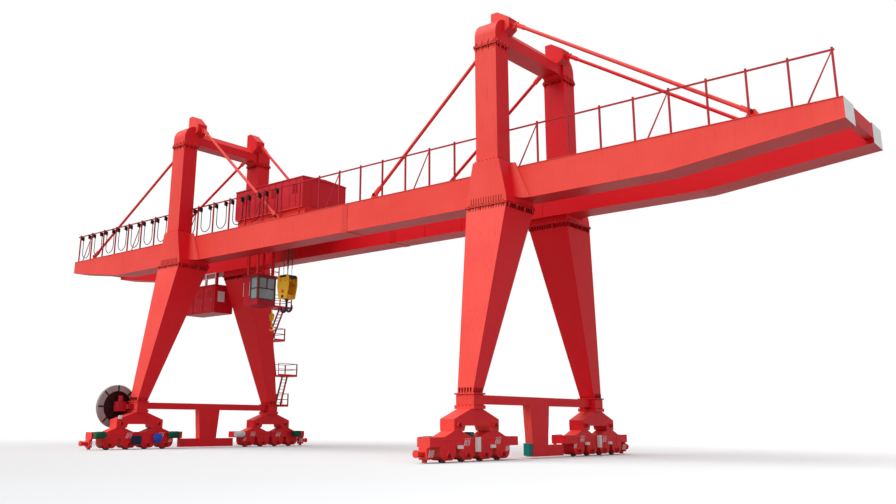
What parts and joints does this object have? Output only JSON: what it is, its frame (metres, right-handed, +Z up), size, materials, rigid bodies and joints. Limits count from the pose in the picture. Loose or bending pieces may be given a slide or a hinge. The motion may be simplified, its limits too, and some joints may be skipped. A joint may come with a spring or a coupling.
{
  "type": "double girder gantry crane, 1:2 scale model",
  "caption": "Rail gantry crane with two box girders, overhangs at both ends, two portal frames with stays, a trolley with machinery house, cab and two hoists, and a cable reel, at 1:2.",
  "frame": {"origin": "under the middle of the girders at rail level, midway between the two girders", "axes": "+X along the girders towards the longer overhang, +Y along the crane's rails, +Z up"},
  "size_m": [32.55, 10.27, 12.8429],
  "materials": {
    "black_steel": "satin",
    "cable_rubber": "matte",
    "glass": "gloss",
    "green_paint": "satin",
    "grey_paint": "satin",
    "rail_steel": "satin",
    "red_paint": "gloss",
    "rope_steel": "satin",
    "yellow_paint": "gloss"
  },
  "bodies": {
    "structure": {"buffers": "black_steel", "cabin_roof_railing": "grey_paint", "centre_column_left": "red_paint", "centre_column_right": "red_paint", "electrical_cabin": "red_paint", "end_ties": "grey_paint", "equalisers": "red_paint", "festoon_cable": "cable_rubber", "festoon_carriers": "grey_paint", "festoon_posts": "red_paint", "foot_tie_left": "red_paint", "foot_tie_right": "red_paint", "girder_far": "red_paint", "girder_near": "red_paint", "legs": "red_paint", "portal_posts": "red_paint", "reel_bracket": "red_paint", "saddles": "red_paint", "stair_landings": "red_paint", "stair_railings": "red_paint", "stair_stringers": "red_paint", "stair_treads": "red_paint", "stays": "red_paint", "top_beam_left": "red_paint", "top_beam_right": "red_paint", "travel_drives": "green_paint", "travel_wheels": "rail_steel", "trolley_rails": "rail_steel", "wheel_trucks": "red_paint"},
    "trolley": {"trolley_frame": "red_paint", "trolley_wheels": "rail_steel", "machinery_house": "red_paint", "cab_hangers": "red_paint", "operator_cab": "red_paint", "cab_glass": "glass", "main_ropes_upper": "rope_steel", "aux_rope_upper": "rope_steel"},
    "hoist_middle": {"main_ropes_middle": "rope_steel"},
    "main_hoist": {"main_ropes_lower": "rope_steel", "hook_block": "yellow_paint", "main_hook": "black_steel"},
    "aux_hoist_middle": {"aux_rope_middle": "rope_steel"},
    "aux_hoist": {"aux_rope_lower": "rope_steel", "aux_block": "yellow_paint"},
    "reel": {"cable_reel": "red_paint", "reel_cable": "cable_rubber"}
  },
  "joints": [
    {"name": "trolley_travel", "type": "slide", "parent": "structure", "child": "trolley", "axis": [1, 0, 0], "range_m": [-10.49, 17.77]},
    {"name": "main_hoist_travel", "type": "slide", "parent": "trolley", "child": "main_hoist", "axis": [0, 0, 1], "range_m": [-4.6, 0.4]},
    {"name": "main_rope_stage", "type": "slide", "parent": "trolley", "child": "hoist_middle", "axis": [0, 0, 1], "range_m": [-2.3, 0.2]},
    {"name": "aux_hoist_travel", "type": "slide", "parent": "trolley", "child": "aux_hoist", "axis": [0, 0, 1], "range_m": [-4.05, 0.4]},
    {"name": "aux_rope_stage", "type": "slide", "parent": "trolley", "child": "aux_hoist_middle", "axis": [0, 0, 1], "range_m": [-2.025, 0.2]},
    {"name": "reel_turn", "type": "hinge", "parent": "structure", "child": "reel", "pos_m": [-8.405, -3.6, 1.475], "axis": [1, 0, 0], "continuous": true}
  ],
  "couplings": [
    {"joint": "main_rope_stage", "follows": "main_hoist_travel", "ratio": 0.5},
    {"joint": "aux_rope_stage", "follows": "aux_hoist_travel", "ratio": 0.5}
  ]
}
